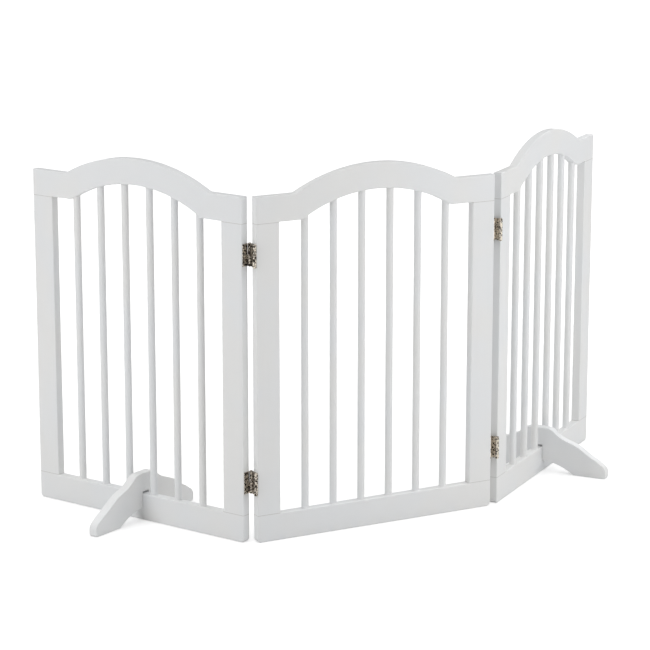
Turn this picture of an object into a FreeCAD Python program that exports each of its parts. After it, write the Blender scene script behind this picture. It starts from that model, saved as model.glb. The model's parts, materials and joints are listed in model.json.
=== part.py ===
import FreeCAD, Part
import math
import os
import Sketcher
from FreeCAD import Placement, Rotation, Vector

# A free-standing folding pet gate: three arched panels of round bars, joined edge to edge by
# double-action hinges, with a slotted foot straddling the bottom rail of each outer panel.
#
# Frame of the part: +Z up, Z = 0 on the floor, +X along the centre panel, +Y to its back.
# The origin is the middle of the centre panel's underside. Every panel piece is modelled in
# the panel's own frame (origin likewise in the middle of its underside) and then placed.
# Hinge pieces are modelled about the middle of the gap between two panels, mid-thickness,
# with Z = 0 at the foot of the hinge.

SIZES = {
    "panel_width": 508.0,
    "frame_thickness": 18.0,
    "shoulder_height": 660.0,      # top of the flat ends of the top rail
    "crown_height": 704.5,         # top of the arch
    "arch_radius": 355.0,          # upper edge of the arch
    "top_rail_depth": 50.0,
    "bottom_rail_depth": 52.5,
    "stile_width": 48.0,
    "bottom_corner_radius": 7.0,
    "shoulder_blend": 14.0,        # radius where the arch meets the shoulder, above and below
    "edge_ease": 2.0,              # rounding of every routed edge
    "bar_radius": 7.0,
    "bar_pitch": 60.0,
    "bar_seat": 10.0,              # length of bar inside each rail
    "bar_clearance": 0.1,
    "seat_relief": 0.5,            # free depth beyond a bar's or a dowel's end
    "dowel_radius": 4.0,
    "dowel_half_length": 18.0,
    "dowel_half_pitch": 12.0,
    "dowel_clearance": 0.05,
    "panel_gap": 8.0,
    "pin_offset": 1.0,             # from a panel's face out to the hinge pin's axis
    "pin_radius": 1.5,
    "pin_running_gap": 0.05,
    "pin_head_radius": 2.6,
    "pin_head_height": 1.2,
    "knuckle_radius": 3.6,
    "knuckle_gap": 0.4,            # between one knuckle and whatever turns past it
    "leaf_thickness": 1.5,
    "hinge_height": 42.0,
    "lower_hinge_base": 95.0,
    "upper_hinge_base": 530.0,
    "screw_head_radius": 2.8,
    "screw_shank_radius": 1.5,
    "screw_length": 16.0,
    "screw_clearance": 0.05,
    "screw_pitch": 13.0,
    "foot_thickness": 18.0,
    "foot_peak": 93.0,
    "foot_half_length": 147.0,
    "foot_arch_height": 25.0,
    "foot_arch_half_span": 78.0,
    "foot_slot_clearance": 0.4,    # each side of the rail
    "foot_slot_headroom": 4.0,     # above the rail
    "foot_edge_ease": 1.5,
    "left_fold": 63.5,             # degrees that each outer panel stands folded back
    "right_fold": 36.5,
}

PANELS = ("left", "centre", "right")
SIDES = {"left": -1, "right": 1}
LEVELS = ("lower", "upper")
BARS = 6
SCREWS = 3

doc = FreeCAD.newDocument("pet_gate")
sheet = doc.addObject("Spreadsheet::Sheet", "Sizes")
for row, (alias, number) in enumerate(SIZES.items(), start=1):
    sheet.set(f"A{row}", alias)
    sheet.set(f"B{row}", str(number))
    sheet.setAlias(f"B{row}", alias)
doc.recompute()

nodes = []


def size(alias):
    return float(sheet.get(alias))


def size_of(formula):
    """Present value of a formula on the sheet."""
    return float(sheet.evalExpression(formula))


def keep(item, label, place=None):
    """Marks a document object as a finished piece: its label names its file."""
    item.Label = label
    if place is not None:
        item.Placement = place
    nodes.append(item)
    return item


def at(x, y, z, rotation=None):
    return Placement(Vector(x, y, z), rotation or Rotation())


# ---------------------------------------------------------------- simple parametric solids


def bind(item, formulas):
    for prop, formula in formulas.items():
        item.setExpression(prop, formula)
    return item


def box(name, corner, length, width, height):
    """A box from its lowest corner; the three sizes are formulas on the sheet."""
    item = doc.addObject("Part::Box", name)
    item.Placement = at(*corner)
    return bind(item, {"Length": length, "Width": width, "Height": height})


def cylinder(name, base, radius, height, rotation=None):
    item = doc.addObject("Part::Cylinder", name)
    item.Placement = at(*base, rotation)
    return bind(item, {"Radius": radius, "Height": height})


def fuse(name, shapes):
    item = doc.addObject("Part::MultiFuse", name)
    item.Shapes = shapes
    return item


def compound(name, shapes):
    item = doc.addObject("Part::Compound", name)
    item.Links = shapes
    return item


def cut(name, base, tool):
    item = doc.addObject("Part::Cut", name)
    item.Base = base
    item.Tool = tool
    return item


def common(name, base, tool):
    item = doc.addObject("Part::Common", name)
    item.Base = base
    item.Tool = tool
    return item


# ---------------------------------------------------------------- sketches and their edges


def sketch_on(body, role, name):
    plane = next(f for f in body.Origin.OriginFeatures if f.Role == role)
    sketch = body.newObject("Sketcher::SketchObject", name)
    sketch.AttachmentSupport = [(plane, "")]
    sketch.MapMode = "FlatFace"
    return sketch


def constrain(sketch, name, formula, *spec):
    """Adds a named dimension to a sketch and drives it from the sheet."""
    index = sketch.addConstraint(Sketcher.Constraint(*spec))
    sketch.renameConstraint(index, name)
    sketch.setExpression(f"Constraints.{name}", formula)


def pad_through(body, sketch, thickness):
    """Pads a sketch equally to both sides of its plane."""
    pad = body.newObject("PartDesign::Pad", sketch.Name + "_pad")
    pad.Profile = sketch
    pad.SideType = "Symmetric"
    pad.setExpression("Length", thickness)
    sketch.Visibility = False
    doc.recompute()
    return pad


def edges_where(feature, test):
    """Names of a feature's edges whose ends and middle all satisfy the test."""
    names = []
    for number, edge in enumerate(feature.Shape.Edges, start=1):
        middle = edge.valueAt((edge.FirstParameter + edge.LastParameter) / 2)
        points = [v.Point for v in edge.Vertexes] + [middle]
        if all(test(p) for p in points):
            names.append(f"Edge{number}")
    return names


def round_edges(body, feature, name, radius, test):
    fillet = body.newObject("PartDesign::Fillet", name)
    fillet.Base = (feature, edges_where(feature, test))
    fillet.setExpression("Radius", radius)
    doc.recompute()
    return fillet


# ---------------------------------------------------------------- panel frame


def arched_loop(sketch, prefix, width, base, shoulder, radius):
    """A rectangle whose top swells into an arch, symmetric about the panel's middle.

    The four sizes are formulas. The arch's centre is that of the rail's upper edge.
    """
    half = size_of(width) / 2
    low, high, arc_radius = size_of(base), size_of(shoulder), size_of(radius)
    centre = size("crown_height") - size("arch_radius")
    reach = math.sqrt(arc_radius**2 - (high - centre) ** 2)
    start = math.atan2(high - centre, reach)
    corners = [Vector(-half, low), Vector(half, low), Vector(half, high), Vector(reach, high)]
    corners += [Vector(-reach, high), Vector(-half, high)]
    circle = Part.Circle(Vector(0, centre), Vector(0, 0, 1), arc_radius)
    parts = [
        Part.LineSegment(corners[0], corners[1]),
        Part.LineSegment(corners[1], corners[2]),
        Part.LineSegment(corners[2], corners[3]),
        Part.ArcOfCircle(circle, start, math.pi - start),
        Part.LineSegment(corners[4], corners[5]),
        Part.LineSegment(corners[5], corners[0]),
    ]
    ids = [sketch.addGeometry(part, False) for part in parts]
    bottom, right, right_top, arc, left_top, left = ids
    for one, other in zip(ids, ids[1:] + ids[:1]):
        sketch.addConstraint(Sketcher.Constraint("Coincident", one, 2, other, 1))
    for line in (right_top, left_top):
        sketch.addConstraint(Sketcher.Constraint("Horizontal", line))
    for line in (right, left):
        sketch.addConstraint(Sketcher.Constraint("Vertical", line))
    sketch.addConstraint(Sketcher.Constraint("Horizontal", arc, 1, arc, 2))
    sketch.addConstraint(Sketcher.Constraint("Symmetric", bottom, 1, bottom, 2, -2))
    sketch.addConstraint(Sketcher.Constraint("PointOnObject", arc, 3, -2))
    constrain(sketch, prefix + "_width", width, "DistanceX", bottom, 1, bottom, 2, 2 * half)
    rise = f"{shoulder} - ({base})"
    constrain(sketch, prefix + "_rise", rise, "DistanceY", right, 1, right, 2, high - low)
    constrain(sketch, prefix + "_radius", radius, "Radius", arc, arc_radius)
    constrain(
        sketch, prefix + "_centre", "Sizes.crown_height - Sizes.arch_radius",
        "DistanceY", -1, 1, arc, 3, centre,
    )
    if low:
        constrain(sketch, prefix + "_base", base, "DistanceY", -1, 1, bottom, 1, low)
    else:
        sketch.addConstraint(Sketcher.Constraint("PointOnObject", bottom, 1, -1))


def build_frame_blank():
    """The whole routed frame of one panel, which is then parted into rails and stiles."""
    body = doc.addObject("PartDesign::Body", "frame_blank")
    sketch = sketch_on(body, "XZ_Plane", "frame_outline")
    arched_loop(
        sketch, "outer", "Sizes.panel_width", "0", "Sizes.shoulder_height", "Sizes.arch_radius",
    )
    arched_loop(
        sketch, "inner", "Sizes.panel_width - 2 * Sizes.stile_width", "Sizes.bottom_rail_depth",
        "Sizes.shoulder_height - Sizes.top_rail_depth", "Sizes.arch_radius - Sizes.top_rail_depth",
    )
    pad = pad_through(body, sketch, "Sizes.frame_thickness")
    half_width = size("panel_width") / 2
    crossing = size("frame_thickness") / 2
    shoulder = size("shoulder_height")
    underside = shoulder - size("top_rail_depth")
    inner_half = half_width - size("stile_width")

    def near(value, target):
        return abs(value - target) < 0.01

    def across(point):
        return near(point.z, 0) and near(abs(point.x), half_width)

    def at_blend(point):
        on_level = near(point.z, shoulder) or near(point.z, underside)
        return on_level and abs(point.x) < inner_half - 1

    def on_face(point):
        return near(abs(point.y), crossing)

    corners = round_edges(body, pad, "bottom_corners", "Sizes.bottom_corner_radius", across)
    blends = round_edges(body, corners, "shoulder_blends", "Sizes.shoulder_blend", at_blend)
    eased = round_edges(body, blends, "eased_edges", "Sizes.edge_ease", on_face)
    body.Tip = eased
    doc.recompute()
    return body


# ---------------------------------------------------------------- where things stand


def turned_about(x, y, degrees):
    """Placement that turns everything about a vertical line through (x, y)."""
    turn = Placement(Vector(), Rotation(Vector(0, 0, 1), degrees))
    return at(x, y, 0) * turn * at(-x, -y, 0)


gap = size("panel_gap")
spacing = size("panel_width") + gap
half_thickness = size("frame_thickness") / 2
pin_depth = half_thickness + size("pin_offset")
joint_x = spacing / 2

panel_place = {
    "centre": at(0, 0, 0),
    "left": turned_about(-joint_x, pin_depth, -size("left_fold")) * at(-spacing, 0, 0),
    "right": turned_about(joint_x, pin_depth, size("right_fold")) * at(spacing, 0, 0),
}

bar_x = [(i - (BARS - 1) / 2) * size("bar_pitch") for i in range(BARS)]
stile_x = size("panel_width") / 2 - size("stile_width") / 2
rail_underside = size("shoulder_height") - size("top_rail_depth")
bar_foot = size("bottom_rail_depth") - size("bar_seat")


def bar_height_formula(x):
    """A bar runs from its seat in the bottom rail to its seat in the arch above it."""
    arch = f"sqrt((Sizes.arch_radius - Sizes.top_rail_depth) ^ 2 - ({x}) ^ 2)"
    top = f"Sizes.crown_height - Sizes.arch_radius + {arch} + Sizes.bar_seat"
    return f"{top} - Sizes.bottom_rail_depth + Sizes.bar_seat"


# ---------------------------------------------------------------- rails, stiles, bars, dowels


def bar_holes():
    """Blind holes of all the bars of a panel: each is its bar, grown by the clearance."""
    drop = size("seat_relief")
    return [
        cylinder(
            f"bar_hole_{i}", (x, 0, bar_foot - drop), "Sizes.bar_radius + Sizes.bar_clearance",
            f"{bar_height_formula(x)} + 2 * Sizes.seat_relief",
        )
        for i, x in enumerate(bar_x, start=1)
    ]


def dowels(name, radius, half_length):
    """Upright dowels: two across each stile, at both of its ends."""
    pieces = []
    for side in (-1, 1):
        for offset in (-size("dowel_half_pitch"), size("dowel_half_pitch")):
            for level, z in enumerate((size("bottom_rail_depth"), rail_underside)):
                pieces.append(cylinder(
                    f"{name}_{len(pieces) + 1}", (side * stile_x + offset, 0, z - size_of(half_length)),
                    radius, f"2 * ({half_length})",
                ))
    return pieces


def screw_heights():
    """Heights of the screws above a hinge's foot."""
    middle = size("hinge_height") / 2
    return [middle + (i - (SCREWS - 1) / 2) * size("screw_pitch") for i in range(SCREWS)]


def screw_spots():
    """Where the screws enter an upright edge: heights above the floor."""
    bases = [size(f"{level}_hinge_base") for level in LEVELS]
    return [base + z for base in bases for z in screw_heights()]


def pilot_holes(side):
    """Level holes into the outer edge of a stile, on the given side of its panel."""
    inward = Rotation(Vector(0, 1, 0), -90 * side)
    edge = side * size("panel_width") / 2
    return [
        cylinder(
            f"pilot_{'right' if side > 0 else 'left'}_{i}", (edge, 0, z),
            "Sizes.screw_shank_radius + Sizes.screw_clearance", "Sizes.screw_length + 1", inward,
        )
        for i, z in enumerate(screw_spots(), start=1)
    ]


def build_panels():
    blank = build_frame_blank()
    width = size("panel_width")
    holes = bar_holes()
    dowel_holes = dowels(
        "dowel_hole", "Sizes.dowel_radius + Sizes.dowel_clearance",
        "Sizes.dowel_half_length + Sizes.seat_relief",
    )
    every_hole = compound("rail_holes", holes + dowel_holes)
    top_region = box(
        "top_region", (-width / 2, -half_thickness, rail_underside),
        "Sizes.panel_width", "Sizes.frame_thickness", "Sizes.crown_height",
    )
    bottom_region = box(
        "bottom_region", (-width / 2, -half_thickness, 0),
        "Sizes.panel_width", "Sizes.frame_thickness", "Sizes.bottom_rail_depth",
    )
    stocks = {
        "top_rail": common("top_rail_stock", blank, top_region),
        "bottom_rail": common("bottom_rail_stock", blank, bottom_region),
    }
    hole_sets = {}
    for side, sign in SIDES.items():
        stile_edge = sign * stile_x - size("stile_width") / 2
        region = box(
            f"{side}_region", (stile_edge, -half_thickness, size("bottom_rail_depth")),
            "Sizes.stile_width", "Sizes.frame_thickness",
            "Sizes.shoulder_height - Sizes.top_rail_depth - Sizes.bottom_rail_depth",
        )
        stocks[f"{side}_stile"] = common(f"{side}_stile_stock", blank, region)
        hole_sets[side] = {
            "plain": compound(f"{side}_plain_holes", dowel_holes),
            "hinged": compound(f"{side}_hinged_holes", dowel_holes + pilot_holes(sign)),
        }
    for panel in PANELS:
        place = panel_place[panel]
        for rail in ("top_rail", "bottom_rail"):
            piece = cut(f"{panel}_{rail}", stocks[rail], every_hole)
            keep(piece, f"{panel}_panel_{rail}", place)
        for side in SIDES:
            kind = "plain" if side == panel else "hinged"
            piece = cut(f"{panel}_{side}_stile", stocks[f"{side}_stile"], hole_sets[side][kind])
            keep(piece, f"{panel}_panel_{side}_stile", place)
        for i, x in enumerate(bar_x, start=1):
            bar = cylinder(f"{panel}_bar_{i}", (0, 0, 0), "Sizes.bar_radius", bar_height_formula(x))
            keep(bar, f"{panel}_panel_bar_{i}", place * at(x, 0, bar_foot))
        pins = dowels(f"{panel}_dowel", "Sizes.dowel_radius", "Sizes.dowel_half_length")
        keep(compound(f"{panel}_dowels", pins), f"{panel}_panel_dowels", place)


# ---------------------------------------------------------------- double-action hinges

# A leaf carries one knuckle in the lower half of the hinge; the link between the two leaves
# carries both upper knuckles. The two leaves are the same piece, turned half round.

PIN_DEPTH = "(Sizes.frame_thickness / 2 + Sizes.pin_offset)"
HALF_KNUCKLE = "(Sizes.hinge_height - Sizes.knuckle_gap) / 2"
KNUCKLE_SWEEP = "(Sizes.knuckle_radius + Sizes.knuckle_gap)"
LEAF_FACE = "(Sizes.panel_gap / 2 - Sizes.leaf_thickness)"

# How far a knuckle's swept circle reaches along a leaf's inner face from the pin's axis.
SHADOW = f"sqrt({KNUCKLE_SWEEP} ^ 2 - {LEAF_FACE} ^ 2)"


def build_leaf_parts():
    """Solid and void of a leaf fixed to the edge at +X, with its knuckle at the front."""
    depth = size_of(PIN_DEPTH)
    shadow = size_of(SHADOW)
    inner_face = size_of(LEAF_FACE)
    web_inner = size("knuckle_radius") - size("leaf_thickness")
    plate = box(
        "leaf_plate", (inner_face, -depth + shadow, 0), "Sizes.leaf_thickness",
        f"2 * ({PIN_DEPTH} - {SHADOW})", "Sizes.hinge_height",
    )
    web = box(
        "leaf_web", (web_inner, -depth, 0), "Sizes.leaf_thickness", SHADOW, HALF_KNUCKLE,
    )
    knuckle = cylinder("leaf_knuckle", (0, -depth, 0), "Sizes.knuckle_radius", HALF_KNUCKLE)
    voids = [cylinder(
        "leaf_bore", (0, -depth, 0), "Sizes.pin_radius + Sizes.pin_running_gap", HALF_KNUCKLE,
    )]
    for i, z in enumerate(screw_heights(), start=1):
        cone = doc.addObject("Part::Cone", f"leaf_countersink_{i}")
        cone.Placement = at(inner_face, 0, z, Rotation(Vector(0, 1, 0), 90))
        voids.append(bind(cone, {
            "Radius1": "Sizes.screw_head_radius + Sizes.screw_clearance",
            "Radius2": "Sizes.screw_shank_radius + Sizes.screw_clearance",
            "Height": "Sizes.leaf_thickness",
        }))
    return fuse("leaf_solid", [plate, web, knuckle]), compound("leaf_voids", voids)


def build_link_parts():
    """Solid and void of the link: a plate across the gap between two upper knuckles."""
    depth = size_of(PIN_DEPTH)
    reach = size_of(KNUCKLE_SWEEP)
    half = size("leaf_thickness") / 2
    upper = size("hinge_height") - size_of(HALF_KNUCKLE)
    solids = [
        box(
            "link_plate", (-half, -depth + reach, 0), "Sizes.leaf_thickness",
            f"2 * ({PIN_DEPTH} - {KNUCKLE_SWEEP})", "Sizes.hinge_height",
        ),
        box(
            "link_bridge", (-half, -depth + size("knuckle_radius") - half, upper),
            "Sizes.leaf_thickness",
            f"2 * ({PIN_DEPTH} - Sizes.knuckle_radius + Sizes.leaf_thickness / 2)", HALF_KNUCKLE,
        ),
    ]
    voids = []
    for name, y in (("front", -depth), ("back", depth)):
        solids.append(cylinder(
            f"link_{name}_knuckle", (0, y, upper), "Sizes.knuckle_radius", HALF_KNUCKLE,
        ))
        voids.append(cylinder(
            f"link_{name}_bore", (0, y, upper), "Sizes.pin_radius + Sizes.pin_running_gap / 2",
            HALF_KNUCKLE,
        ))
    return fuse("link_solid", solids), compound("link_voids", voids)


def build_pin_parts():
    """A pin with a flat head above the knuckles and a peened end below them."""
    shank = cylinder("pin_shank", (0, 0, 0), "Sizes.pin_radius", "Sizes.hinge_height")
    rise = size("hinge_height") + size("pin_running_gap")
    drop = -size("pin_head_height") - size("pin_running_gap")
    height = "Sizes.pin_head_height + Sizes.pin_running_gap"
    head = cylinder("pin_head", (0, 0, rise), "Sizes.pin_head_radius", "Sizes.pin_head_height")
    peen = cylinder("pin_peen", (0, 0, drop), "Sizes.pin_head_radius", "Sizes.pin_head_height")
    neck = cylinder("pin_upper_neck", (0, 0, size("hinge_height")), "Sizes.pin_radius", height)
    tail = cylinder("pin_lower_neck", (0, 0, drop), "Sizes.pin_radius", height)
    return [shank, neck, tail, head, peen]


def hinge_place(panel, side, level):
    """Placement of a hinge beside one edge of a panel, in line with that panel."""
    return panel_place[panel] * at(SIDES[side] * joint_x, 0, size(f"{level}_hinge_base"))


half_turn = Placement(Vector(), Rotation(Vector(0, 0, 1), 180))

# Which panel each side of a joint belongs to. Both joints stand folded about their back
# pins, so the link lies in line with the panel whose leaf holds the front pin: the right one.
JOINTS = {"left": ("left", "centre"), "right": ("centre", "right")}


def leaf_name(joint, level, panel):
    return f"{joint}_{level}_hinge_{'centre' if panel == 'centre' else 'outer'}_leaf"


def build_hinges():
    leaf_solid, leaf_voids = build_leaf_parts()
    link_solid, link_voids = build_link_parts()
    pin_parts = build_pin_parts()
    for joint, (left_panel, right_panel) in JOINTS.items():
        for level in LEVELS:
            beside_right = hinge_place(right_panel, "left", level)
            beside_left = hinge_place(left_panel, "right", level)
            name = f"{joint}_{level}_hinge"
            front_leaf = cut(f"{name}_front_leaf", leaf_solid, leaf_voids)
            keep(front_leaf, leaf_name(joint, level, right_panel), beside_right)
            back_leaf = cut(f"{name}_back_leaf", leaf_solid, leaf_voids)
            keep(back_leaf, leaf_name(joint, level, left_panel), beside_left * half_turn)
            keep(cut(f"{name}_link_piece", link_solid, link_voids), f"{name}_link", beside_right)
            for end, y in (("front", -pin_depth), ("back", pin_depth)):
                pin = fuse(f"{name}_{end}_pin_piece", pin_parts)
                keep(pin, f"{name}_{end}_pin", beside_right * at(0, y, 0))


# ---------------------------------------------------------------- hinge screws


def screw_shape():
    """One countersunk wood screw, head at X = 0 and pointing along +X, with a cross recess."""
    plate = size("leaf_thickness")
    shank = size("screw_shank_radius")
    tip = 4 * shank
    forward = Vector(1, 0, 0)
    head = Part.makeCone(size("screw_head_radius"), shank, plate, Vector(), forward)
    body = Part.makeCylinder(shank, size("screw_length") - tip - plate, Vector(plate, 0, 0), forward)
    start = Vector(size("screw_length") - tip, 0, 0)
    point = Part.makeCone(shank, shank / 5, tip, start, forward)
    screw = head.fuse([body, point])
    arm, slot, depth = 1.5 * shank, 0.4 * shank, 0.6 * plate
    for long, wide in ((arm, slot), (slot, arm)):
        screw = screw.cut(Part.makeBox(depth, long, wide, Vector(0, -long / 2, -wide / 2)))
    return screw.removeSplitter()


def build_screws():
    screw = screw_shape()
    head_face = size_of(LEAF_FACE)
    groups = {
        "left_panel_hinge_screws": ("left", "right"),
        "centre_panel_left_hinge_screws": ("centre", "left"),
        "centre_panel_right_hinge_screws": ("centre", "right"),
        "right_panel_hinge_screws": ("right", "left"),
    }
    for label, (panel, side) in groups.items():
        copies = []
        facing = Placement() if side == "left" else half_turn
        for level in LEVELS:
            for z in screw_heights():
                copy = screw.copy()
                copy.Placement = hinge_place(panel, side, level) * facing * at(head_face, 0, z)
                copies.append(copy)
        group = doc.addObject("Part::Feature", label)
        group.Shape = Part.makeCompound(copies)
        keep(group, label)


# ---------------------------------------------------------------- feet


def foot_outline():
    """Half the foot's outline for Y > 0, from the peak down to the arch, in order.

    The upper edge is one smooth wave: a hump over the rail, a hollow, a second swell and
    then the toe, which is rounded into the flat sole.
    """
    peak, half = size("foot_peak"), size("foot_half_length")
    wave = [
        Vector(half * along, peak * up, 0)
        for along, up in (
            (0.10, 1.0), (0.19, 0.965), (0.275, 0.865), (0.36, 0.785), (0.47, 0.72),
            (0.58, 0.65), (0.69, 0.54), (0.81, 0.42), (0.925, 0.305),
        )
    ]
    toe = [Vector(half, peak * 0.14, 0), Vector(half, peak * 0.06, 0), Vector(half * 0.965, 0, 0)]
    upper = Part.BSplineCurve()
    upper.interpolate(wave, InitialTangent=Vector(1, 0, 0), FinalTangent=Vector(1, -0.75, 0))
    toe_arc = Part.Arc(wave[-1], Vector(half * 0.982, peak * 0.23, 0), toe[0])
    heel_arc = Part.Arc(toe[1], Vector(half * 0.99, peak * 0.015, 0), toe[2])
    sole_end = Vector(size("foot_arch_half_span"), 0, 0)
    slot = half_thickness + size("foot_slot_clearance")
    rise, span = size("foot_arch_height"), size("foot_arch_half_span")
    radius = (span**2 + rise**2) / (2 * rise)

    def under(y):
        return Vector(y, math.sqrt(radius**2 - y**2) - radius + rise, 0)

    slot_top = size("bottom_rail_depth") + size("foot_slot_headroom")
    arch = Part.Arc(sole_end, under((span + slot) / 2), under(slot))
    return [
        upper, toe_arc, Part.LineSegment(toe[0], toe[1]), heel_arc,
        Part.LineSegment(toe[2], sole_end), arch,
        Part.LineSegment(under(slot), Vector(slot, slot_top, 0)),
    ]


def build_foot(name):
    """A board on the YZ plane of its panel, slotted from below over the bottom rail."""
    body = doc.addObject("PartDesign::Body", name + "_body")
    sketch = sketch_on(body, "YZ_Plane", name + "_outline")
    half = foot_outline()
    mirror = FreeCAD.Matrix()
    mirror.scale(-1, 1, 1)
    other = [curve.copy() for curve in half]
    for curve in other:
        curve.transform(mirror)
    peak_start = half[0].StartPoint
    slot_end = half[-1].EndPoint
    top = Part.LineSegment(Vector(-peak_start.x, peak_start.y, 0), peak_start)
    roof = Part.LineSegment(Vector(-slot_end.x, slot_end.y, 0), slot_end)
    sketch.addGeometry([*half, *other, top, roof], False)
    pad = pad_through(body, sketch, "Sizes.foot_thickness")
    side = size("foot_thickness") / 2
    slot = half_thickness + size("foot_slot_clearance")

    def on_broad_face(point):
        outside_slot = abs(point.y) > slot + 0.01 or point.z > size("bottom_rail_depth") + 10
        return abs(abs(point.x) - side) < 0.01 and outside_slot

    eased = round_edges(body, pad, name + "_eased", "Sizes.foot_edge_ease", on_broad_face)
    body.Tip = eased
    doc.recompute()
    return body


# ---------------------------------------------------------------- build, check and write


def faults():
    """Objects that failed to recompute, and pieces with no sound solid."""
    found = []
    for item in doc.Objects:
        if "Invalid" in item.State or "Error" in item.State:
            found.append(f"{item.Name}: {item.State}")
    for item in nodes:
        if item.Shape.isNull() or not item.Shape.isValid() or item.Shape.Volume <= 0:
            found.append(f"{item.Label}: no sound solid")
    return found


build_panels()
build_hinges()
build_screws()
for side in SIDES:
    keep(build_foot(f"{side}_foot_board"), f"{side}_foot", panel_place[side])
doc.recompute()

problems = faults()
if problems:
    raise RuntimeError("; ".join(problems))
os.makedirs("parts", exist_ok=True)
for piece in nodes:
    piece.Shape.exportStep(f"parts/{piece.Label}.step")
print(len(nodes), "pieces written")
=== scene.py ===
import json
import math

import bmesh
import bpy
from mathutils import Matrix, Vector
from mathutils.bvhtree import BVHTree


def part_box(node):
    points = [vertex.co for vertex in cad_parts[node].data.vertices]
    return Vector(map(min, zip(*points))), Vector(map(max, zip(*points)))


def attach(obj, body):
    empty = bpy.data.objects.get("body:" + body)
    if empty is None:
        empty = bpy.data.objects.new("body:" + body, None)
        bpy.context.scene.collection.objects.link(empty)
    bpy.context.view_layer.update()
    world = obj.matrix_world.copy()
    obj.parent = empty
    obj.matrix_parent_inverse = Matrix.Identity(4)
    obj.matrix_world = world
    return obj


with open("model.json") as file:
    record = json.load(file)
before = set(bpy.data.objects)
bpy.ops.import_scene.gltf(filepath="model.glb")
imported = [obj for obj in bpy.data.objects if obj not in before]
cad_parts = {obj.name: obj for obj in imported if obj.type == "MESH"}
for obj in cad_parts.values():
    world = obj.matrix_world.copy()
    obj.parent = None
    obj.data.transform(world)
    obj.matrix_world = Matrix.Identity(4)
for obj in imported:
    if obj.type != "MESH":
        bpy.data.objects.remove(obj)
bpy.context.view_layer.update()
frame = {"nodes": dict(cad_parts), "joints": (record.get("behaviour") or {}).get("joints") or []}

# All lengths are metres in the frame's own axes: +X along the centre panel, +Z up.

PANELS = ("left", "centre", "right")
JOINTS = {j["name"]: j for j in frame["joints"]}

# Camera: it looks at a point near the middle of the gate, from the front left and above.
CAMERA_AZIMUTH = -27.67
CAMERA_ELEVATION = 13.52
CAMERA_DISTANCE = 4.9
CAMERA_AIM = (-0.099, 0.016, 0.399)
CAMERA_LENS = 144.66
CAMERA_SENSOR = 36.0

# Softboxes: name, azimuth and elevation from the camera's side in degrees, distance from the
# camera's aim, watts, and the panel that it faces.
SOFTBOXES = (
    ("left_softbox", -55, 15, 2.4, 16.0, "left"),
    ("right_softbox", 60, 15, 1.9, 8.7, "right"),
    ("right_side_softbox", 95, 12, 1.9, 4.2, "right"),
    ("back_left_softbox", -140, 20, 2.4, 7.0, "centre"),
    ("back_right_softbox", 150, 20, 2.4, 7.0, "centre"),
)
SOFTBOX_SIZE = (1.0, 1.6)
SOFTBOX_TARGET_HEIGHT = 0.35

# Floor: its glow to the camera grows between the two distances from the gate.
FLOOR_HALF_SIZE = 30.0
FLOOR_WHITE = (0.78, 0.78, 0.78, 1.0)
FLOOR_ROUGHNESS = 0.9
GLOW_NEAR, GLOW_FAR = 0.38, 0.65
GLOW_FROM, GLOW_TO = 0.7, 2.6

# Sky: its strength against the height of the direction looked in, from 0 level to 1 overhead.
SKY_BAND = {"From Min": 0.3, "From Max": 1.0, "To Min": 0.15, "To Max": 1.25}
WHITE = (1.0, 1.0, 1.0, 1.0)


def panel_angle(panel):
    """Degrees that a panel stands turned about Z at rest. A flat joint is at one end of its range."""
    if panel == "left":
        return JOINTS["left_back_pin"]["range_deg"][0]
    if panel == "right":
        return JOINTS["right_back_pin"]["range_deg"][1]
    return 0.0


# ---------------------------------------------------------------- node helpers

MIX_FACTOR, MIX_FIRST, MIX_SECOND = 0, 6, 7    # sockets of a Mix node set to colours
MIX_RESULT = 2


def times(colour, factor):
    return tuple(factor * c for c in colour)


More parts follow.
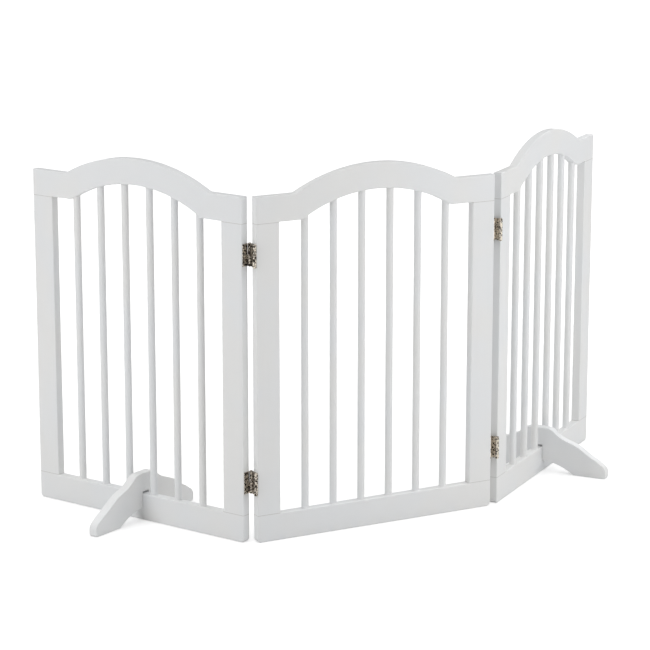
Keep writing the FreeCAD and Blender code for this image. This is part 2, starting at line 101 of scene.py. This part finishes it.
class Shader:
    """A material under construction: adds nodes and links them by socket name."""

    def __init__(self, name):
        self.material = bpy.data.materials.new(name)
        self.material.use_nodes = True
        self.tree = self.material.node_tree
        self.bsdf = next(n for n in self.tree.nodes if n.type == "BSDF_PRINCIPLED")

    def node(self, kind, **settings):
        made = self.tree.nodes.new("ShaderNode" + kind)
        for key, value in settings.items():
            setattr(made, key, value)
        return made

    def link(self, source, target):
        self.tree.links.new(source, target)

    def feed(self, node, **values):
        """Sets or links inputs of a node; a name's underscores stand for spaces."""
        for key, value in values.items():
            socket = node.inputs[key.replace("_", " ")]
            if isinstance(value, bpy.types.NodeSocket):
                self.link(value, socket)
            else:
                socket.default_value = value
        return node

    def place(self, turn=0.0, stretch=(1, 1, 1)):
        """Object coordinates turned into a panel's own axes, then scaled."""
        coords = self.node("TexCoord")
        turned = self.node("Mapping")
        self.feed(turned, Vector=coords.outputs["Object"], Rotation=(0, 0, math.radians(-turn)))
        scaled = self.node("Mapping")
        self.feed(scaled, Vector=turned.outputs["Vector"], Scale=stretch)
        return scaled.outputs["Vector"]

    def noise(self, where, scale, detail=3.0, rough=0.5, distortion=0.0):
        made = self.node("TexNoise")
        self.feed(
            made, Vector=where, Scale=scale, Detail=detail, Roughness=rough, Distortion=distortion,
        )
        return made.outputs["Fac"]

    def band(self, value, low, high, out_low=0.0, out_high=1.0):
        """A smooth step from out_low to out_high as the value goes from low to high."""
        made = self.node("MapRange", interpolation_type="SMOOTHSTEP")
        self.feed(made, Value=value, From_Min=low, From_Max=high, To_Min=out_low, To_Max=out_high)
        return made.outputs["Result"]

    def math(self, operation, first, second):
        made = self.node("Math", operation=operation)
        for socket, value in zip(made.inputs, (first, second)):
            if isinstance(value, bpy.types.NodeSocket):
                self.link(value, socket)
            else:
                socket.default_value = value
        return made.outputs["Value"]

    def distance(self, height):
        """How far a point is above or below a height."""
        split = self.node("SeparateXYZ")
        self.link(self.place(), split.inputs[0])
        return self.math("ABSOLUTE", self.math("SUBTRACT", split.outputs["Z"], height), 0.0)

    def mix(self, factor, first, second):
        """Two colours blended; a colour is a socket or three numbers."""
        made = self.node("Mix", data_type="RGBA")
        for index, value in ((MIX_FACTOR, factor), (MIX_FIRST, first), (MIX_SECOND, second)):
            if isinstance(value, bpy.types.NodeSocket):
                self.link(value, made.inputs[index])
            else:
                made.inputs[index].default_value = (*value, 1.0)
        return made.outputs[MIX_RESULT]

    def edges(self, radius):
        """Near 1 on sharp or rounded edges narrower than the radius, and 0 on open faces."""
        rounded = self.node("Bevel", samples=4)
        rounded.inputs["Radius"].default_value = radius
        plain = self.node("NewGeometry")
        dot = self.node("VectorMath", operation="DOT_PRODUCT")
        self.link(rounded.outputs["Normal"], dot.inputs[0])
        self.link(plain.outputs["Normal"], dot.inputs[1])
        return self.band(dot.outputs["Value"], 1.0, 0.90)

    def bump(self, height, distance, strength=1.0, onto=None):
        made = self.node("Bump")
        self.feed(made, Height=height, Distance=distance, Strength=strength)
        if onto is not None:
            self.link(onto, made.inputs["Normal"])
        return made.outputs["Normal"]

    def finish(self, **values):
        self.feed(self.bsdf, **values)
        return self.material


# ---------------------------------------------------------------- materials


ACROSS, UP = 0, 2               # axes that the grain of a board can follow
GRAIN_STRETCH = 0.035           # noise runs this much slower along the grain than across it

PAINT_TONE = 0.80
COOL = times((0.985, 1.0, 1.012), PAINT_TONE)
WARM = times((1.0, 1.0, 0.99), PAINT_TONE)
THIN = times((0.93, 0.915, 0.88), PAINT_TONE)

# Noise scales of the paint, in cycles a metre: the drift between cool and warm white, the grain
# under the film, its pores, the roller's stipple and the chips along rubbed edges.
CLOUD_SCALE = 7.0
STREAK_SCALE = 190.0
PORE_SCALE = 620.0
STIPPLE_SCALE = 1500.0
CHIP_SCALE = 260.0
PAINT_WEAR_WIDTH = 0.0016

# Painted shade, with some dirt, in the hairline joint at each end of a stile:
# how far it spreads, and its colour.
SEAM_SHADE_WIDTH = 0.0015
SEAM_SHADE_AND_DIRT = times(THIN, 0.70)


def painted_wood(name, turn, grain, seams=()):
    """Satin white paint on wood: faint grain under the film, roller stipple, rubbed edges.

    turn is the panel's angle, grain the axis along the boards, and seams the heights of the
    joints that the paint is darkened beside: painted shade of each joint's crevice, with some dirt.
    """
    shader = Shader(name)
    stretch = [1.0, 1.0, 1.0]
    stretch[grain] = GRAIN_STRETCH
    along = shader.place(turn, stretch)
    even = shader.place(turn)
    cloud = shader.noise(even, CLOUD_SCALE, 2.0)
    streak = shader.noise(along, STREAK_SCALE, 4.0, 0.6, 0.4)
    pores = shader.band(shader.noise(along, PORE_SCALE, 2.0, 0.6), 0.60, 0.74)
    stipple = shader.noise(even, STIPPLE_SCALE, 2.0, 0.5)
    wear = shader.edges(PAINT_WEAR_WIDTH)
    chips = shader.band(shader.noise(even, CHIP_SCALE, 4.0, 0.65), 0.58, 0.70)
    paint = shader.mix(shader.band(cloud, 0.35, 0.65), COOL, WARM)
    paint = shader.mix(shader.math("MULTIPLY", pores, 0.10), paint, THIN)
    rubbed = shader.math("MULTIPLY", wear, shader.band(chips, 0.0, 1.0, 0.25, 0.85))
    paint = shader.mix(rubbed, paint, THIN)
    # Painted shade, with some dirt: the paint darkens within a narrow band of each joint's height.
    for height in seams:
        line = shader.band(shader.distance(height), 0.0, SEAM_SHADE_WIDTH, 1.0, 0.0)
        paint = shader.mix(line, paint, SEAM_SHADE_AND_DIRT)
    rough = shader.math(
        "ADD", shader.band(streak, 0.3, 0.7, 0.36, 0.46), shader.math("MULTIPLY", wear, 0.10),
    )
    relief = shader.bump(streak, 0.00018, 0.35)
    relief = shader.bump(pores, -0.00006, 0.35, relief)
    relief = shader.bump(stipple, 0.00005, 0.30, relief)
    return shader.finish(Base_Color=paint, Roughness=rough, Normal=relief)


BROWN = (0.024, 0.017, 0.013)
BRASS = (0.97, 0.88, 0.75)
WORN_BRASS = times(BRASS, 0.75)
ISLAND_SCALE = 350.0            # hammered islands, in cycles a metre
SCRATCH_SCALE = 1500.0
BRASS_WEAR_WIDTH = 0.0006


def antique_brass(name, level):
    """Hammered antique brass: dark brown hollows between rubbed cream-gold islands.

    level is the noise value above which the metal is rubbed clear; a lower one is brighter.
    """
    shader = Shader(name)
    even = shader.place()
    island = shader.noise(even, ISLAND_SCALE, 2.0, 0.5, 0.6)
    fine = shader.noise(even, SCRATCH_SCALE, 3.0, 0.6)
    wear = shader.edges(BRASS_WEAR_WIDTH)
    clear = shader.band(island, level - 0.02, level + 0.04)
    rubbed = shader.math("MAXIMUM", clear, shader.math("MULTIPLY", wear, 0.8))
    toned = shader.mix(shader.band(fine, 0.35, 0.65), BRASS, WORN_BRASS)
    colour = shader.mix(rubbed, BROWN, toned)
    metal = shader.band(rubbed, 0.0, 1.0, 0.55, 0.80)
    rough = shader.band(rubbed, 0.0, 1.0, 0.50, 0.30)
    relief = shader.bump(island, 0.00035, 0.8)
    relief = shader.bump(fine, 0.00005, 0.5, relief)
    return shader.finish(Base_Color=colour, Metallic=metal, Roughness=rough, Normal=relief)


BEECH, BEECH_FLECK = (0.62, 0.45, 0.29), (0.47, 0.31, 0.18)
FLECK_SCALE, FLECK_STRETCH = 520.0, 0.06


def bare_wood(name):
    """Unpainted beech of the hidden dowels: short flecks along the grain."""
    shader = Shader(name)
    along = shader.place(0.0, (1.0, 1.0, FLECK_STRETCH))
    fleck = shader.band(shader.noise(along, FLECK_SCALE, 3.0, 0.6), 0.45, 0.65)
    colour = shader.mix(fleck, BEECH, BEECH_FLECK)
    relief = shader.bump(fleck, 0.0001, 0.5)
    return shader.finish(Base_Color=colour, Roughness=0.6, Normal=relief)


def make_materials():
    """Every material, by the kind of node or by the panel and the kind of node.

    The right-hand hinges are rubbed brighter than the left-hand ones, as in the photo.
    """
    made = {
        "left_leaf": antique_brass("antique_brass_left", 0.52),
        "right_leaf": antique_brass("antique_brass_right", 0.44),
        "pin": antique_brass("antique_brass_pin", 0.46),
        "screw": antique_brass("antique_brass_screw", 0.43),
        "dowel": bare_wood("bare_beech"),
    }
    for panel in PANELS:
        turn = panel_angle(panel)
        seams = [corner.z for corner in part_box(f"{panel}_panel_left_stile")]
        made[panel, "rail"] = painted_wood(f"paint_{panel}_rails", turn, ACROSS)
        made[panel, "stile"] = painted_wood(f"paint_{panel}_stiles", turn, UP, seams)
        made[panel, "bar"] = painted_wood(f"paint_{panel}_bars", turn, UP)
        if panel != "centre":
            made[panel, "foot"] = painted_wood(f"paint_{panel}_foot", turn + 90, ACROSS)
    return made


def material_for(node, materials):
    if "screws" in node:
        return materials["screw"]
    if "dowels" in node:
        return materials["dowel"]
    if node.endswith("_pin"):
        return materials["pin"]
    panel = node.split("_")[0]
    if "hinge" in node:
        return materials[f"{panel}_leaf"]
    for kind in ("foot", "rail", "stile", "bar"):
        if kind in node:
            return materials[panel, kind]
    raise ValueError(node)


# Width of the broken edge on each kind of piece. On a stile it opens the fine seams where
# its ends meet the rails.
EDGE_BREAK = {"stile": 0.0006, "leaf": 0.00025, "link": 0.00025}
SHARP_EDGE = math.radians(50)


def soften(node, width):
    """A narrow bevel on the sharp edges of a CAD node, so that they catch the light."""
    bevel = node.modifiers.new("edge", "BEVEL")
    bevel.width = width
    bevel.segments = 2
    bevel.limit_method = "ANGLE"
    bevel.angle_limit = SHARP_EDGE
    bevel.use_clamp_overlap = False


def dress_nodes(materials):
    for name, node in frame["nodes"].items():
        node.data.materials.clear()
        node.data.materials.append(material_for(name, materials))
        for kind, width in EDGE_BREAK.items():
            if name.endswith(kind):
                soften(node, width)


# ---------------------------------------------------------------- paint beads round the bars

BEAD_SIDES = 40
BEAD_SKIN = 0.00025     # clear of the bar's own seat, whose rim is hidden under the bead
# Cross-section of a bead: out from the bar's surface, and away from the rail's surface.
BEAD_PROFILE = (
    (-0.0004, -0.0004), (0.0013, -0.0004), (0.00125, 0.00004), (0.0008, 0.0002),
    (0.00045, 0.0005), (0.0002, 0.001), (0.0, 0.0017), (-0.0004, 0.0017),
)
SEAM_NUDGE = 0.00002


def surface_tree(node):
    mesh = frame["nodes"][node].data
    return BVHTree.FromPolygons([v.co for v in mesh.vertices], [p.vertices for p in mesh.polygons])


def surface_height(tree, start, toward):
    """Height of the first surface above or below a point; a ray down a seam is nudged off it."""
    for nudge in (0.0, SEAM_NUDGE):
        hit = tree.ray_cast(start + Vector((nudge, 0.7 * nudge, 0)), Vector((0, 0, toward)))[0]
        if hit is not None:
            return hit.z
    raise ValueError("no rail over a bar's end")


def add_bead(mesh, tree, bar, toward, phase):
    """One ring of paint where a bar enters a rail; toward is 1 at its top and -1 at its foot."""
    low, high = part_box(bar)
    middle = (low + high) / 2
    radius = (high.x - low.x) / 2
    rings = []
    for i in range(BEAD_SIDES):
        turn = 2 * math.pi * i / BEAD_SIDES
        swell = 1.0 + 0.08 * math.sin(2 * turn + phase) + 0.05 * math.sin(5 * turn + 3 * phase)
        ring = []
        for out, rise in BEAD_PROFILE:
            reach = radius + (out * swell if out > 0 else out)
            probe = max(reach, radius + BEAD_SKIN)
            start = middle + Vector((probe * math.cos(turn), probe * math.sin(turn), 0))
            place = middle + Vector((reach * math.cos(turn), reach * math.sin(turn), 0))
            away = rise * swell if rise > 0 else rise
            place.z = surface_height(tree, start, toward) - toward * away
            ring.append(mesh.verts.new(place))
        rings.append(ring)
    for one, other in zip(rings, rings[1:] + rings[:1]):
        for k in range(len(BEAD_PROFILE)):
            after = (k + 1) % len(BEAD_PROFILE)
            mesh.faces.new((one[k], other[k], other[after], one[after]))


def make_beads(panel, material):
    """The thick paint that gathers in the corner round both ends of every bar of a panel."""
    rails = {
        1: surface_tree(f"{panel}_panel_top_rail"),
        -1: surface_tree(f"{panel}_panel_bottom_rail"),
    }
    bars = sorted(name for name in frame["nodes"] if name.startswith(f"{panel}_panel_bar_"))
    mesh = bmesh.new()
    for number, bar in enumerate(bars):
        for toward, tree in rails.items():
            add_bead(mesh, tree, bar, toward, 1.7 * number + toward)
    bmesh.ops.recalc_face_normals(mesh, faces=mesh.faces)
    data = bpy.data.meshes.new(f"{panel}_panel_paint_beads")
    mesh.to_mesh(data)
    mesh.free()
    data.shade_smooth()
    data.materials.append(material)
    piece = bpy.data.objects.new(data.name, data)
    bpy.context.scene.collection.objects.link(piece)
    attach(piece, f"{panel}_panel")


# ---------------------------------------------------------------- stage, light and camera


def aimed(obj, place, target):
    obj.location = place
    obj.rotation_mode = "QUATERNION"
    obj.rotation_quaternion = (Vector(target) - Vector(place)).to_track_quat("-Z", "Y")
    bpy.context.scene.collection.objects.link(obj)
    return obj


def from_aim(azimuth, elevation, distance):
    """A point around the camera's aim: azimuth 0 is the camera's side, 90 its right."""
    a, e = math.radians(CAMERA_AZIMUTH + azimuth), math.radians(elevation)
    back = Vector((math.sin(a) * math.cos(e), -math.cos(a) * math.cos(e), math.sin(e)))
    return Vector(CAMERA_AIM) + back * distance


def make_camera():
    data = bpy.data.cameras.new("camera")
    data.lens = CAMERA_LENS
    data.sensor_width = CAMERA_SENSOR
    place = from_aim(0, CAMERA_ELEVATION, CAMERA_DISTANCE)
    bpy.context.scene.camera = aimed(bpy.data.objects.new("camera", data), place, CAMERA_AIM)


def panel_middle(panel):
    low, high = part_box(f"{panel}_panel_bottom_rail")
    middle = (low + high) / 2
    middle.z = SOFTBOX_TARGET_HEIGHT
    return middle


def softbox(name, azimuth, elevation, distance, watts, panel):
    """A tall soft light around the camera's aim, turned to face one panel."""
    data = bpy.data.lights.new(name, "AREA")
    data.shape = "RECTANGLE"
    data.size, data.size_y = SOFTBOX_SIZE
    data.energy = watts
    place = from_aim(azimuth, elevation, distance)
    return aimed(bpy.data.objects.new(name, data), place, panel_middle(panel))


def make_floor():
    """A white sweep. It is seen brighter than it lights the gate, as an overlit backdrop is."""
    mesh = bmesh.new()
    bmesh.ops.create_grid(mesh, x_segments=1, y_segments=1, size=FLOOR_HALF_SIZE)
    data = bpy.data.meshes.new("floor")
    mesh.to_mesh(data)
    mesh.free()
    floor = bpy.data.objects.new("floor", data)
    bpy.context.scene.collection.objects.link(floor)
    paint = Shader("floor_white")
    away = paint.node("VectorMath", operation="LENGTH")
    paint.link(paint.place(), away.inputs[0])
    glow = paint.band(away.outputs["Value"], GLOW_FROM, GLOW_TO, GLOW_NEAR, GLOW_FAR)
    glow = paint.math("MULTIPLY", glow, paint.node("LightPath").outputs["Is Camera Ray"])
    data.materials.append(paint.finish(
        Base_Color=FLOOR_WHITE, Roughness=FLOOR_ROUGHNESS,
        Emission_Color=WHITE, Emission_Strength=glow,
    ))


def make_world():
    """A bright ceiling over dim walls. The sky itself is seen as plain white."""
    world = bpy.data.worlds.new("studio")
    world.use_nodes = True
    tree = world.node_tree
    background = next(n for n in tree.nodes if n.type == "BACKGROUND")
    where = tree.nodes.new("ShaderNodeTexCoord")
    split = tree.nodes.new("ShaderNodeSeparateXYZ")
    rise = tree.nodes.new("ShaderNodeMapRange")
    rise.interpolation_type = "SMOOTHSTEP"
    for key, value in SKY_BAND.items():
        rise.inputs[key].default_value = value
    seen = tree.nodes.new("ShaderNodeLightPath")
    either = tree.nodes.new("ShaderNodeMath")
    either.operation = "MAXIMUM"
    tree.links.new(where.outputs["Generated"], split.inputs[0])
    tree.links.new(split.outputs["Z"], rise.inputs["Value"])
    tree.links.new(rise.outputs["Result"], either.inputs[0])
    tree.links.new(seen.outputs["Is Camera Ray"], either.inputs[1])
    tree.links.new(either.outputs["Value"], background.inputs["Strength"])
    background.inputs["Color"].default_value = WHITE
    bpy.context.scene.world = world


def make_studio():
    make_floor()
    make_world()
    for row in SOFTBOXES:
        softbox(*row)
    bpy.context.scene.view_settings.view_transform = "Standard"


materials = make_materials()
dress_nodes(materials)
for panel in PANELS:
    make_beads(panel, materials[panel, "bar"])
make_studio()
make_camera()
